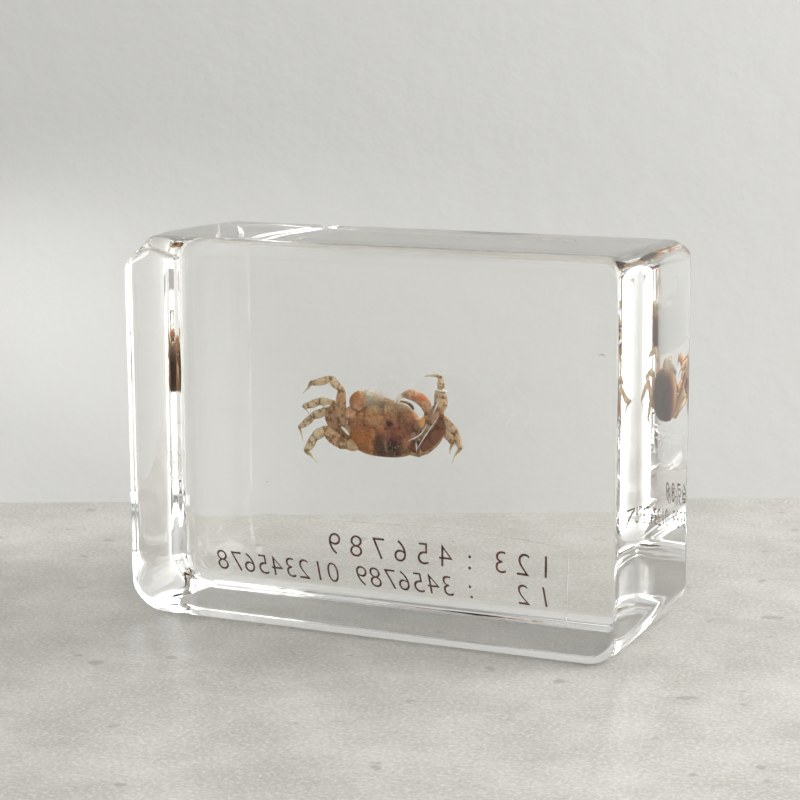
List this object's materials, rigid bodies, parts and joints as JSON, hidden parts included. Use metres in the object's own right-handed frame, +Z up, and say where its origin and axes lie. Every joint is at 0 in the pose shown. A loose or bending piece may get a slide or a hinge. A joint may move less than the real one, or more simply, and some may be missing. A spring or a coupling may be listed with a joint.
{
  "type": "sand bubbler crab in resin block",
  "caption": "Clear rounded resin block that stands on its long narrow side, with a small dried crab and a clear film printed with plain numbers sealed inside.",
  "frame": {"origin": "middle of the block's footprint, on the surface that it stands on", "axes": "+X along the block's width, +Y from its front face to its back face, +Z up"},
  "size_m": [0.0768, 0.031, 0.055],
  "materials": {
    "clear_resin": "polished clear cast resin",
    "crab_shell": "dried crab shell, amber brown with pale joints",
    "label_film": "clear film with plain numbers printed in dark brown"
  },
  "bodies": {
    "root": {"resin_front_layer": "clear_resin", "resin_back_layer": "clear_resin", "crab": "crab_shell", "label_film": "label_film"}
  },
  "joints": []
}
